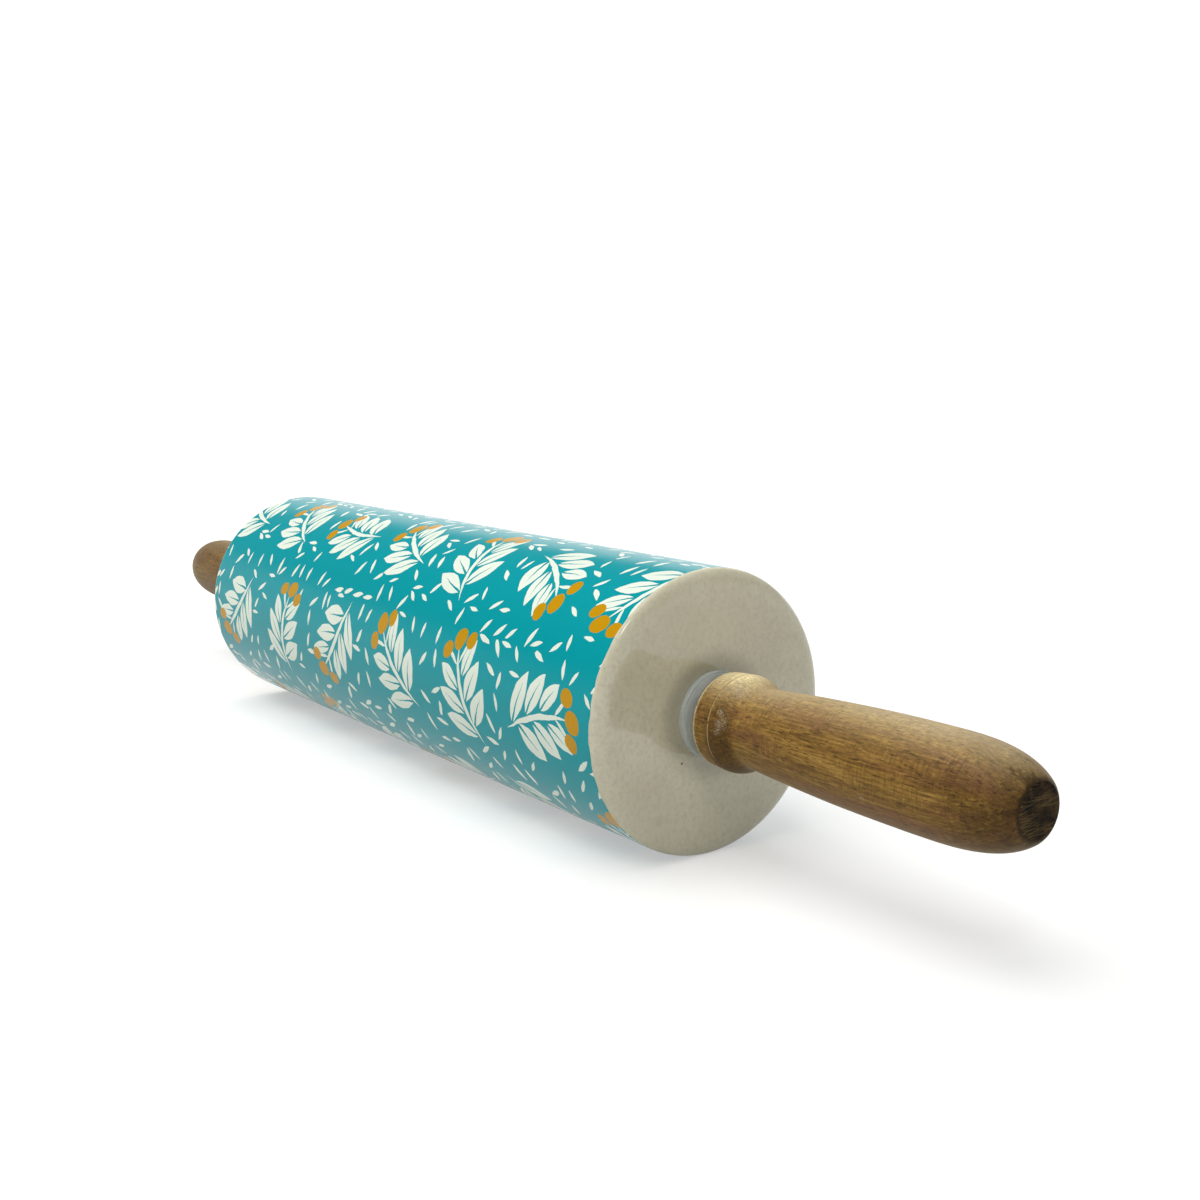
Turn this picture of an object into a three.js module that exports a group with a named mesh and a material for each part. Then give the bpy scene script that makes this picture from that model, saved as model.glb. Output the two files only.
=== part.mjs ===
// A ceramic rolling pin: a hollow glazed barrel that turns on a steel axle between two wooden handles.
// Millimetres, +Z up. The pin lies along X, with the origin in the middle of the barrel, on its axis.
import * as THREE from "three";

// Barrel, slip-cast with a cavity and a hole in each end wall
const BARREL_DIAMETER = 68;
const BARREL_LENGTH = 223;
const BARREL_WALL = 7;
const END_WALL = 8;
const RIM_ROUND = 2.4;
const CAVITY_FILLET = 6;

// Flanged bush: a spigot in the end hole, a flange on the end face and a nose that stands off the handle
const SPIGOT_WALL = 3.2;
const SPIGOT_OVERHANG = 1.5;
const SPIGOT_CHAMFER = 0.8;
const FLANGE_THICKNESS = 1.3;
const FLANGE_CHAMFER = 0.4;
const NOSE_DIAMETER = 20;
const FLANGE_STEP = 0.5;
const NOSE_HEIGHT = 2.2;
const NOSE_ROUND = 0.8;

// Axle rod with a shoulder and a thread at each end
const AXLE_DIAMETER = 8;
const SHOULDER_STEP = 1;
const THREAD_LENGTH = 30;
const RELIEF_DEPTH = 0.5;
const RELIEF_LENGTH = 1.5;
const ROD_CHAMFER = 0.6;

// Thrust washer, clamped between the axle's shoulder and the insert
const WASHER_INSET = 0.3;
const WASHER_THICKNESS = 0.8;

// Threaded insert with glue barbs
const INSERT_WALL = 2;
const INSERT_LENGTH = 24;
const BARB_COUNT = 4;
const BARB_DEPTH = 0.5;

// Turned handle
const HANDLE_LENGTH = 86;
const COLLAR_DIAMETER = 22.6;
const COLLAR_TAPER = 0.35;
const COLLAR_EDGE = 0.6;
const COLLAR_BAND = 5.4;
const SCORE_WIDTH = 0.6;
const SCORE_DEPTH = 0.4;
const COVE_LENGTH = 6.2;
const NECK_DIAMETER = 18.4;
const BELLY_DIAMETER = 22.5;
const ROUNDED_END_LENGTH = 24;
const TIP_FLAT_DIAMETER = 12;
const DRILL_POINT = 2.5;

// Clearances
const RUNNING_CLEARANCE = 0.3;
const END_FLOAT = 0.3;
const GLUE_FILM = 0.3;
const THREAD_CLEARANCE = 0.3;
const BORE_SPARE_DEPTH = 3;

// Sides of the turned forms, and the steps in their curves
const BARREL_SIDES = 64;
const HANDLE_SIDES = 32;
const BUSH_SIDES = 32;
const ROD_SIDES = 24;
const ROUND_STEPS = 3;
const COVE_STEPS = 6;
const GRIP_STEPS = 8;
const ROUNDED_END_STEPS = 10;

// The grip's rounded end is fuller than an ellipse: its radius follows the square root of 1 - u^3
const ROUNDED_END_POWER = 3;

const QUARTER = Math.PI / 2;
const barrelRadius = BARREL_DIAMETER / 2;
const endFace = BARREL_LENGTH / 2;
const axleRadius = AXLE_DIAMETER / 2;
const threadRadius = axleRadius - SHOULDER_STEP;
const bushBore = axleRadius + RUNNING_CLEARANCE;
const spigotRadius = bushBore + SPIGOT_WALL;
const noseRadius = NOSE_DIAMETER / 2;
const flangeSeat = endFace + GLUE_FILM;
const bushTop = flangeSeat + FLANGE_THICKNESS + NOSE_HEIGHT;
const washerSeat = bushTop + END_FLOAT;
const shoulder = washerSeat - GLUE_FILM;
const handleFace = washerSeat + WASHER_THICKNESS + GLUE_FILM;
const rodEnd = shoulder + THREAD_LENGTH;
const threadBore = threadRadius + THREAD_CLEARANCE;
const insertRadius = threadBore + INSERT_WALL;
const handleBore = insertRadius + GLUE_FILM;
const insertEnd = handleFace + INSERT_LENGTH;
const boreEnd = Math.max(rodEnd, insertEnd) + BORE_SPARE_DEPTH;

function finish(color, roughness, metalness) {
  return new THREE.MeshStandardMaterial({ color, roughness, metalness });
}

const glazedCeramic = finish(0x1a9fa8, 0.12, 0);
const clearPlastic = finish(0xb4c0c2, 0.35, 0);
const nylon = finish(0xd9dcd6, 0.45, 0);
const zincPlatedSteel = finish(0xb5b7ba, 0.3, 1);
const brass = finish(0xb08d45, 0.35, 1);
const turnedWood = finish(0x93703a, 0.5, 0);

// A point of a turned profile: its distance from the axis and its place along it.
const at = (radius, along) => new THREE.Vector2(radius, along);

// The corner radius of a faceted form whose flats lie at the given radius.
const flatsAt = (radius, sides) => radius / Math.cos(Math.PI / sides);

// An arc of a profile, by its centre, its radius and its first and last angle from straight outwards.
function arc(centreRadius, centreAlong, radius, start, end) {
  const points = [];
  for (let i = 0; i <= ROUND_STEPS; i++) {
    const angle = start + ((end - start) * i) / ROUND_STEPS;
    points.push(at(centreRadius + radius * Math.cos(angle), centreAlong + radius * Math.sin(angle)));
  }
  return points;
}

// A curve of a profile, without its start: radiusAt gives the radius at each share of the way.
function stretch(from, to, steps, radiusAt) {
  const points = [];
  for (let i = 1; i <= steps; i++) {
    const share = i / steps;
    points.push(at(radiusAt(share), from + (to - from) * share));
  }
  return points;
}

// A profile that runs from the middle outwards, with its mirror image before it.
const mirrored = (half) => [...half.map((p) => at(p.x, -p.y)).reverse(), ...half];

// A turned solid along X. Side 1 points to +X and side -1 to -X. A flat of each form faces straight down.
function turned(name, profile, sides, material, side = 1) {
  const form = new THREE.LatheGeometry(profile, sides, Math.PI / sides);
  const mesh = new THREE.Mesh(form, material);
  mesh.name = name;
  mesh.rotation.z = -side * QUARTER;
  return mesh;
}

function barrelProfile() {
  // The barrel rests on a flat, so its flats lie at its radius.
  const outer = flatsAt(barrelRadius, BARREL_SIDES);
  const inner = flatsAt(barrelRadius - BARREL_WALL, BARREL_SIDES);
  const mouth = flatsAt(spigotRadius + GLUE_FILM, BARREL_SIDES);
  const cavityEnd = endFace - END_WALL;
  const fillet = Math.min(CAVITY_FILLET, (inner - mouth) / 2);
  const outside = mirrored([
    ...arc(outer - RIM_ROUND, endFace - RIM_ROUND, RIM_ROUND, 0, QUARTER),
    at(mouth, endFace),
  ]);
  const inside = mirrored([
    ...arc(inner - fillet, cavityEnd - fillet, fillet, 0, QUARTER),
    at(mouth, cavityEnd),
  ]);
  return [...outside, ...inside.reverse(), outside[0]];
}

function bushProfile() {
  const bore = flatsAt(bushBore, BUSH_SIDES);
  const spigotEnd = endFace - END_WALL - SPIGOT_OVERHANG;
  const flange = noseRadius + FLANGE_STEP;
  const flangeTop = flangeSeat + FLANGE_THICKNESS;
  return [
    at(bore, spigotEnd),
    at(spigotRadius - SPIGOT_CHAMFER, spigotEnd),
    at(spigotRadius, spigotEnd + SPIGOT_CHAMFER),
    at(spigotRadius, flangeSeat),
    at(flange, flangeSeat),
    at(flange, flangeTop - FLANGE_CHAMFER),
    at(flange - FLANGE_CHAMFER, flangeTop),
    at(noseRadius, flangeTop),
    ...arc(noseRadius - NOSE_ROUND, bushTop - NOSE_ROUND, NOSE_ROUND, 0, QUARTER),
    at(bore, bushTop),
    at(bore, spigotEnd),
  ];
}

function axleProfile() {
  return mirrored([
    at(axleRadius, shoulder - ROD_CHAMFER),
    at(axleRadius - ROD_CHAMFER, shoulder),
    at(threadRadius - RELIEF_DEPTH, shoulder),
    at(threadRadius - RELIEF_DEPTH, shoulder + RELIEF_LENGTH - RELIEF_DEPTH),
    at(threadRadius, shoulder + RELIEF_LENGTH),
    at(threadRadius, rodEnd - ROD_CHAMFER),
    at(threadRadius - ROD_CHAMFER, rodEnd),
    at(0, rodEnd),
  ]);
}

function washerProfile() {
  const bore = flatsAt(threadBore, BUSH_SIDES);
  const rim = noseRadius - WASHER_INSET;
  const top = washerSeat + WASHER_THICKNESS;
  return [at(bore, washerSeat), at(rim, washerSeat), at(rim, top), at(bore, top), at(bore, washerSeat)];
}

function insertProfile() {
  const bore = flatsAt(threadBore, ROD_SIDES);
  const root = insertRadius - BARB_DEPTH;
  const barbPitch = INSERT_LENGTH / BARB_COUNT;
  const profile = [at(bore, handleFace)];
  for (let i = 0; i < BARB_COUNT; i++) {
    profile.push(at(insertRadius, handleFace + barbPitch * i));
    profile.push(at(root, handleFace + barbPitch * (i + 1)));
  }
  return [...profile, at(bore, insertEnd), at(bore, handleFace)];
}

function handleProfile() {
  const bore = flatsAt(handleBore, HANDLE_SIDES);
  const collar = COLLAR_DIAMETER / 2;
  const neck = NECK_DIAMETER / 2;
  const belly = BELLY_DIAMETER / 2;
  const tipFlat = TIP_FLAT_DIAMETER / 2;
  const scoreStart = handleFace + COLLAR_BAND;
  const scoreEnd = scoreStart + SCORE_WIDTH;
  const neckPlace = scoreEnd + COVE_LENGTH;
  const tip = handleFace + HANDLE_LENGTH;
  const bellyPlace = tip - ROUNDED_END_LENGTH;
  // The share of a full rounded end at which its radius has come down to the flat tip
  const cutShare = (1 - (tipFlat / belly) ** 2) ** (1 / ROUNDED_END_POWER);
  const cove = (u) => neck + ((collar - neck) * (1 + Math.cos(Math.PI * u))) / 2;
  const grip = (u) => belly - (belly - neck) * (1 - u) ** 2;
  const roundedEnd = (u) => belly * Math.sqrt(1 - (u * cutShare) ** ROUNDED_END_POWER);
  return [
    at(0, boreEnd + DRILL_POINT),
    at(bore, boreEnd),
    at(bore, handleFace),
    at(collar - COLLAR_TAPER - COLLAR_EDGE, handleFace),
    at(collar - COLLAR_TAPER, handleFace + COLLAR_EDGE),
    at(collar, scoreStart),
    at(collar - SCORE_DEPTH, scoreStart + SCORE_WIDTH / 2),
    at(collar, scoreEnd),
    ...stretch(scoreEnd, neckPlace, COVE_STEPS, cove),
    ...stretch(neckPlace, bellyPlace, GRIP_STEPS, grip),
    ...stretch(bellyPlace, tip, ROUNDED_END_STEPS, roundedEnd),
    at(0, tip),
  ];
}

const pin = new THREE.Group();
pin.add(turned("barrel", barrelProfile(), BARREL_SIDES, glazedCeramic));
pin.add(turned("axle_rod", axleProfile(), ROD_SIDES, zincPlatedSteel));
for (const [hand, side] of [["right", 1], ["left", -1]]) {
  pin.add(turned(`${hand}_bush`, bushProfile(), BUSH_SIDES, clearPlastic, side));
  pin.add(turned(`${hand}_washer`, washerProfile(), BUSH_SIDES, nylon, side));
  pin.add(turned(`${hand}_insert`, insertProfile(), ROD_SIDES, brass, side));
  pin.add(turned(`${hand}_handle`, handleProfile(), HANDLE_SIDES, turnedWood, side));
}

export default pin;
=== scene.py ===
"""Dresses the ceramic rolling pin: a printed, glazed barrel, plastic bushes and turned wooden handles.

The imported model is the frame. Each piece stands where its solid stands, and takes from it the places that
the two share. What a solid doesn't say, such as the repeat of the print, is written here in millimetres.
"""
import logging
import math
from dataclasses import dataclass, field
from enum import Enum

import bpy
import numpy as np
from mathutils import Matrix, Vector


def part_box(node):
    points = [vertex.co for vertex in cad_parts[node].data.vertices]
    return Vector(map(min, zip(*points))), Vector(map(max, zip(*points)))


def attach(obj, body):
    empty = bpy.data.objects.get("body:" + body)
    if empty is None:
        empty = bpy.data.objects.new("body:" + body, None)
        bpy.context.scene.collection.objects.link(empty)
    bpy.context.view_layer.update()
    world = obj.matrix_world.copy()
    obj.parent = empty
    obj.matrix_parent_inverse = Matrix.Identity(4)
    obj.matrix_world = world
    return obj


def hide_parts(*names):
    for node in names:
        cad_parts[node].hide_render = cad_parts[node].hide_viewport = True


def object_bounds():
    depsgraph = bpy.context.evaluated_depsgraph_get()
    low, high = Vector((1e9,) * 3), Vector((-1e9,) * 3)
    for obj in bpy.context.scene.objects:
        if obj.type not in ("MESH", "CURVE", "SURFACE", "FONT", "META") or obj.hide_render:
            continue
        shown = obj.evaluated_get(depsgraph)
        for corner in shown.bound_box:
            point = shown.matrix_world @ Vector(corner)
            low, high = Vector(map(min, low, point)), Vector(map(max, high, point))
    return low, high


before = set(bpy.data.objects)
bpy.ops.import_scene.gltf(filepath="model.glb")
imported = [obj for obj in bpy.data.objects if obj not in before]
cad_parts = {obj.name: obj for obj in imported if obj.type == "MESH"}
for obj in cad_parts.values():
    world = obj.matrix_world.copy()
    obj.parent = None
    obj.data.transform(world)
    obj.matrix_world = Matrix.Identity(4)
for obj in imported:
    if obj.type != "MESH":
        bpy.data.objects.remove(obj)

CAD_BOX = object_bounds()
MM = 0.001
PER_METRE = 1000.0
FULL_TURN = 2.0 * math.pi
SHARP_DEGREES = 40.0
LOG = logging.getLogger("rolling_pin")

Node = bpy.types.Node
Tree = bpy.types.NodeTree
Socket = bpy.types.NodeSocket
Colour = tuple[float, float, float, float]
Pair = tuple[float, float]
Point = tuple[float, float, float]
# Each stop of a colour ramp: its place and its hex colour.
Stops = tuple[tuple[float, str], ...]
# A leaf of the print: its middle across and along the sprig, its half width, half length and lean in degrees.
Leaf = tuple[float, float, float, float, float]


class Side(Enum):
    """The end of the pin that a piece belongs to, as the sign of its X."""

    RIGHT = 1
    LEFT = -1

    def node(self, piece: str) -> str:
        """The name of the solid that stands for a piece at this end."""
        return f"{self.name.lower()}_{piece}"


class Carrier(Enum):
    """The moving bodies of the pin."""

    HANDLES = "handles"
    BARREL = "barrel"


def linear(hex_colour: str) -> Colour:
    """Turns an sRGB hex colour to linear light.

    Args:
        hex_colour: a colour such as "#1a9fa8".

    Returns:
        Red, green, blue and an alpha of 1.
    """
    srgb = np.array([int(hex_colour[i:i + 2], 16) for i in (1, 3, 5)]) / 255.0
    light = np.where(srgb <= 0.04045, srgb / 12.92, ((srgb + 0.055) / 1.055) ** 2.4)
    return (*light.tolist(), 1.0)


def add(tree: Tree, kind: str, inputs: dict | None = None, stops: Stops = (), **settings: object) -> Node:
    """Adds one node with its settings and links.

    Args:
        tree: the node tree that gets it.
        kind: the node's type without "ShaderNode".
        inputs: by name or number, a node or a socket to link from, or a value to set.
        stops: for a colour ramp, the place and the hex colour of each stop.
        settings: the node's own properties, which are set first.

    Returns:
        The new node.
    """
    node = tree.nodes.new("ShaderNode" + kind)
    for name, value in settings.items():
        setattr(node, name, value)
    for key, value in (inputs or {}).items():
        by_name = (s for s in node.inputs if s.enabled and s.name == key)
        socket = node.inputs[key] if isinstance(key, int) else next(by_name)
        if isinstance(value, Node):
            value = next(s for s in value.outputs if s.enabled)
        if isinstance(value, Socket):
            tree.links.new(value, socket)
        else:
            socket.default_value = value
    for number, (place, colour) in enumerate(stops):
        ramp = node.color_ramp.elements
        stop = ramp[number] if number < len(ramp) else ramp.new(place)
        stop.position = place
        stop.color = linear(colour)
    return node


def millimetres(tree: Tree) -> Node:
    """The surface point in the piece's own frame, in millimetres."""
    point = add(tree, "TexCoord").outputs["Object"]
    return add(tree, "VectorMath", {0: point, "Scale": PER_METRE}, operation="SCALE")


def background_rays(tree: Tree) -> Node:
    """A value of 1 for rays that see the white background: from the camera, off gloss and through glass.

    Args:
        tree: the node tree of a material or of the world.

    Returns:
        The node that gives the value, which is 0 for other rays.
    """
    path = add(tree, "LightPath")
    seen = add(tree, "Math", {0: path.outputs["Is Camera Ray"], 1: path.outputs["Is Glossy Ray"]},
               operation="MAXIMUM")
    return add(tree, "Math", {0: seen, 1: path.outputs["Is Transmission Ray"]}, operation="MAXIMUM")


def arc(along: float, radius: float, size: float, first: float, last: float, steps: int) -> np.ndarray:
    """An arc of a profile: centre + size * (sin a, cos a), with a = 0 pointing away from the axis.

    Args:
        along: the centre's place along the axis, in mm.
        radius: the centre's distance from the axis, in mm.
        size: the arc's radius, in mm.
        first: the first angle, in degrees.
        last: the last angle, in degrees.
        steps: how many points it has.

    Returns:
        An array of (along, radius) rows.
    """
    angle = np.radians(np.linspace(first, last, steps))
    return np.stack([along + size * np.sin(angle), radius + size * np.cos(angle)], axis=1)


def stretch(along: np.ndarray, radius: np.ndarray | float) -> np.ndarray:
    """A stretch of a profile as rows of (along, radius), with the radius given for each place or for all."""
    return np.stack([along, np.broadcast_to(radius, along.shape)], axis=1)


def corners(*points: Pair) -> np.ndarray:
    """Straight runs of a profile through the given (along, radius) points."""
    return np.array(points, dtype=float)


def revolve(name: str, profile: np.ndarray, sides: int, side: Side, swell: np.ndarray | None = None,
            zones: np.ndarray | None = None) -> bpy.types.Object:
    """Turns a profile round the X axis into one closed surface.

    The point of profile row i at angle a is (x_i, (r_i + swell) cos a, (r_i + swell) sin a). The left side is
    the same form turned half round Z. A profile whose ends lie on the axis closes there in a fan. Any other
    profile closes on itself. Edges that turn by more than SHARP_DEGREES stay crisp.

    Args:
        name: the object's name.
        profile: rows of (along, radius) in mm, in the order that keeps the material on the left.
        sides: the number of steps round the axis.
        side: the end of the pin that the piece points to.
        swell: what is added to the radius at each row and angle, in mm.
        zones: the number of the finish from each row to the next.

    Returns:
        The new object, at the origin, with its place in its mesh.
    """
    angle = np.linspace(0.0, FULL_TURN, sides, endpoint=False)
    on_axis = profile[:, 1] <= 0.0
    has_poles = bool(on_axis[0] and on_axis[-1])
    rings = profile[1:-1] if has_poles else profile
    radius = rings[:, 1:2] + (0.0 if swell is None else swell[1:-1] if has_poles else swell)
    along = np.broadcast_to(rings[:, 0:1], (len(rings), sides))
    turn = side.value
    grid = np.stack([turn * along, turn * radius * np.cos(angle), np.broadcast_to(
        radius * np.sin(angle), along.shape)], axis=-1).reshape(-1, 3)
    here = np.arange(sides)
    after = (here + 1) % sides
    last = len(rings) - 1 if has_poles else len(rings)
    low = np.arange(last)[:, None] * sides
    high = (np.arange(1, last + 1) % len(rings))[:, None] * sides
    quads = np.stack([low + here, low + after, high + after, high + here], axis=-1).reshape(-1, 4).tolist()
    fans = []
    if has_poles:
        start, end = len(grid), len(grid) + 1
        poles = np.array([[turn * profile[0, 0], 0.0, 0.0], [turn * profile[-1, 0], 0.0, 0.0]])
        grid = np.concatenate([grid, poles])
        rim = (len(rings) - 1) * sides
        fans += np.stack([np.full(sides, start), after, here], axis=1).tolist()
        fans += np.stack([rim + here, rim + after, np.full(sides, end)], axis=1).tolist()
    mesh = bpy.data.meshes.new(name)
    mesh.from_pydata((grid * MM).tolist(), [], quads + fans)
    mesh.shade_smooth()
    mesh.set_sharp_from_angle(angle=math.radians(SHARP_DEGREES))
    if zones is not None:
        # The fans at the poles come after the quads, so their zones do too.
        bands = np.concatenate([zones[1:-1], zones[:1], zones[-1:]]) if has_poles else zones
        mesh.polygons.foreach_set("material_index", np.repeat(bands, sides).astype(np.int32))
    mesh.update()
    piece = bpy.data.objects.new(name, mesh)
    bpy.context.scene.collection.objects.link(piece)
    return piece


def settle(piece: bpy.types.Object, finishes: list[bpy.types.Material], carrier: Carrier,
           node: str) -> None:
    """Dresses a piece and ties it to the frame.

    Args:
        piece: the new piece.
        finishes: its materials, by number.
        carrier: the body that it moves with.
        node: the solid that it stands for.
    """
    for finish in finishes:
        piece.data.materials.append(finish)
    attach(piece, carrier.value)
    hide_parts(node)
    LOG.info("%s: %d faces on %s", piece.name, len(piece.data.polygons), carrier.value)


@dataclass(frozen=True)
class Finish:
    """A finish, named for its material and for how its surface was made."""

    name: str

    def material(self) -> bpy.types.Material:
        """Makes the material, whose surface is this finish's shader.

        Returns:
            The new material.
        """
        material = bpy.data.materials.new(self.name)
        material.use_nodes = True
        material.node_tree.nodes.clear()
        add(material.node_tree, "OutputMaterial", {"Surface": self.shader(material.node_tree)})
        return material

    def shader(self, tree: Tree) -> Node:
        """Adds the nodes of the finish and returns its shader."""
        raise NotImplementedError


@dataclass(frozen=True, kw_only=True)
class PlainGlaze(Finish):
    """Slip-cast earthenware under a clear gloss glaze. Sizes are in mm.

    The eye sees a warm white that is faintly clouded and stippled, mirrors its surroundings softly, has a
    pinhole and a rubbed smudge on each end, and is darkened round the bush by dust and painted shade.
    """

    half_length: float
    body: str = "#e0dbc1"
    clouded: str = "#d7d1b6"
    stippled: str = "#c6c0a6"
    marked: str = "#3a3225"
    dusty_and_shaded: str = "#767056"
    cloud_size: float = 20.0
    stipple_size: float = 1.0
    pool_size: float = 8.0
    # Distances from the axis within which dust and painted shade are full and past which they end; their
    # share.
    dust_and_shade_reach: Pair = (11.5, 17.0)
    dust_and_shade: float = 0.42
    # Each mark: its end, its place across and up the end face, its radius, and how much of it shows.
    marks: tuple[tuple[Side, float, float, float, float], ...] = (
        (Side.RIGHT, -9.4, -10.2, 0.32, 0.9), (Side.RIGHT, -15.9, -22.6, 1.3, 0.1),
        (Side.LEFT, 12.0, 6.5, 0.3, 0.85), (Side.LEFT, -20.0, 9.0, 1.8, 0.07))

    def bare(self, tree: Tree, mm: Node) -> Node:
        """The colour of the glazed body where nothing is printed on it.

        Args:
            tree: the material's node tree.
            mm: the surface point, in mm.

        Returns:
            The node that gives the colour.
        """
        # The clouds and the stipple are each a few percent deep.
        cloud = add(tree, "TexNoise", {"Vector": mm, "Scale": 1.0 / self.cloud_size, "Detail": 4.0,
                                       "Roughness": 0.6})
        colour = add(tree, "ValToRGB", {"Fac": cloud.outputs["Fac"]},
                     stops=((0.35, self.clouded), (0.65, self.body)))
        stipple = add(tree, "TexNoise", {"Vector": mm, "Scale": 1.0 / self.stipple_size, "Detail": 3.0,
                                         "Roughness": 0.6})
        dotted = add(tree, "MapRange", {"Value": stipple.outputs["Fac"], "From Min": 0.44, "From Max": 0.7,
                                        "To Max": 0.6})
        layers = [(dotted, self.stippled)]
        # The stipple frays the edge of each mark.
        for side, across, up, radius, strength in self.marks:
            middle = (side.value * self.half_length, across, up)
            off = add(tree, "VectorMath", {0: mm, 1: middle}, operation="DISTANCE").outputs["Value"]
            rough = add(tree, "Math", {0: stipple.outputs["Fac"], 1: 1.2 * radius, 2: off},
                        operation="MULTIPLY_ADD")
            mark = add(tree, "MapRange", {"Value": rough, "From Min": 1.8 * radius, "From Max": 1.3 * radius,
                                          "To Max": strength})
            layers.append((mark, self.marked))
        # Flour and dust gather in the corner round the bush, with painted shade there too.
        flat = add(tree, "VectorMath", {0: mm, 1: (0.0, 1.0, 1.0)}, operation="MULTIPLY")
        away = add(tree, "VectorMath", {0: flat}, operation="LENGTH").outputs["Value"]
        near, far = self.dust_and_shade_reach
        corner = add(tree, "MapRange", {"Value": away, "From Min": far, "From Max": near,
                                        "To Max": self.dust_and_shade}, interpolation_type="SMOOTHSTEP")
        layers.append((corner, self.dusty_and_shaded))
        for share, tint in layers:
            colour = add(tree, "Mix", {"Factor": share, "A": colour, "B": linear(tint)}, data_type="RGBA")
        return colour

    def skin(self, tree: Tree, mm: Node) -> Node:
        """The glaze pools and thins by microns over a few mm, which bends its reflections a little."""
        pool = add(tree, "TexNoise", {"Vector": mm, "Scale": 1.0 / self.pool_size, "Detail": 3.0})
        return add(tree, "Bump", {"Height": pool.outputs["Fac"], "Strength": 0.2, "Distance": 0.0001})

    def shader(self, tree: Tree) -> Node:
        """The bare body under the glaze."""
        mm = millimetres(tree)
        return add(tree, "BsdfPrincipled", {"Base Color": self.bare(tree, mm), "Roughness": 0.07, "IOR": 1.55,
                                            "Normal": self.skin(tree, mm)})


@dataclass(frozen=True, kw_only=True)
class PrintedGlaze(PlainGlaze):
    """Glazed earthenware with a print fired into the glaze, which takes off some of its gloss.

    The eye sees flat, crisp print colours that pale where the barrel is seen at a grazing angle, and a bare
    edge of glaze past the print.

    The print is laid out on the unrolled barrel, in mm. Its cells stand in columns round the barrel, each
    second column half a cell further along. Each cell holds one leafy sprig at a turn of its own, and slim
    seeds fill the ground between the sprigs.
    """

    radius: float
    ground: str = "#009aa3"
    cream: str = "#e9f2e3"
    mustard: str = "#c89303"
    columns: int = 6
    row_pitch: float = 36.0
    # The bare edge at each end, and how far its line wanders.
    margin: float = 2.2
    edge_waver: float = 0.9
    seed_pitch: float = 6.3
    seed_half_width: float = 0.75
    seed_half_length: float = 2.97
    # How far the drawn lines waver, and over what length.
    hand_waver: float = 0.5
    waver_size: float = 4.0
    # How far a sprig bows, and how far its left and right leaves are set apart along it, each way.
    bend: float = 2.6
    stagger: float = 1.3
    sprig_half_length: float = 16.0
    sprig_half_width: float = 12.0
    # The stem and the berry's stalk have the shape of slim leaves. The side leaves stand in pairs.
    stem: Leaf = (0.0, -2.0, 0.75, 13.5, 0.0)
    stalk: Leaf = (2.6, 8.6, 0.5, 3.4, -42.0)
    leaves: tuple[Leaf, ...] = (
        (5.6, -7.4, 2.7, 6.6, -52.0), (5.4, -0.6, 2.5, 6.2, -46.0), (4.6, 5.4, 2.1, 5.2, -38.0))
    # Each berry: its middle across and along the sprig, and its radius.
    berries: tuple[Point, ...] = ((0.0, 12.6, 2.7), (5.2, 11.0, 2.2))

    def cell(self, tree: Tree, place: Node | Socket) -> Node:
        """A place on the unrolled barrel, in mm, from the middle of its cell and in its sprig's own turn.

        With column c = floor(x / width), the row is y / height + c / 2. Each cell turns by a random angle.

        Args:
            tree: the print's node tree.
            place: the place on the unrolled barrel, in mm.

        Returns:
            The node that gives the place in the cell, in mm.
        """
        width = FULL_TURN * self.radius / self.columns
        size = (width, self.row_pitch, 1.0)
        share = add(tree, "VectorMath", {0: place, 1: size}, operation="DIVIDE")
        split = add(tree, "SeparateXYZ", {0: share})
        column = add(tree, "Math", {0: split.outputs["X"]}, operation="FLOOR")
        drop = add(tree, "Math", {0: column, 1: 2.0}, operation="FLOORED_MODULO")
        dropped = add(tree, "Math", {0: drop, 1: 0.5, 2: split.outputs["Y"]}, operation="MULTIPLY_ADD")
        shifted = add(tree, "CombineXYZ", {"X": split.outputs["X"], "Y": dropped})
        number = add(tree, "VectorMath", {0: shifted}, operation="FLOOR")
        inside = add(tree, "VectorMath", {0: shifted}, operation="FRACTION")
        middle = add(tree, "VectorMath", {0: inside, 1: (0.5, 0.5, 0.0)}, operation="SUBTRACT")
        real = add(tree, "VectorMath", {0: middle, 1: size}, operation="MULTIPLY")
        chance = add(tree, "TexWhiteNoise", {"Vector": number}, noise_dimensions="2D").outputs["Value"]
        turn = add(tree, "Math", {0: chance, 1: FULL_TURN}, operation="MULTIPLY")
        return add(tree, "VectorRotate", {"Vector": real, "Angle": turn}, rotation_type="Z_AXIS")

    def leaf(self, tree: Tree, place: Node, shape: Leaf, vein: float = 0.1) -> Node:
        """A value below 0 inside a pointed leaf, |x| + y^2 < 1, and outside its vein, |x| < vein (0.6 - y).

        Args:
            tree: the print's node tree.
            place: the place on the sprig, in mm.
            shape: the leaf's middle, half width, half length and lean.
            vein: the vein's half width at the leaf's middle, as a share of the leaf's.

        Returns:
            The node that gives the value.
        """
        across, along, half_width, half_length, lean = shape
        local = add(tree, "Mapping", {
            "Vector": place, "Location": (across, along, 0.0), "Rotation": (0.0, 0.0, math.radians(lean)),
            "Scale": (half_width, half_length, 1.0)}, vector_type="TEXTURE")
        xyz = add(tree, "SeparateXYZ", {0: local})
        off = add(tree, "Math", {0: xyz.outputs["X"]}, operation="ABSOLUTE")
        rim = add(tree, "Math", {0: xyz.outputs["Y"], 1: xyz.outputs["Y"], 2: off}, operation="MULTIPLY_ADD")
        blade = add(tree, "Math", {0: rim, 1: 1.0}, operation="SUBTRACT")
        rib = add(tree, "Math", {0: xyz.outputs["Y"], 1: -vein, 2: 0.6 * vein}, operation="MULTIPLY_ADD")
        slit = add(tree, "Math", {0: rib, 1: off}, operation="SUBTRACT")
        return add(tree, "Math", {0: blade, 1: slit}, operation="MAXIMUM")

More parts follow.
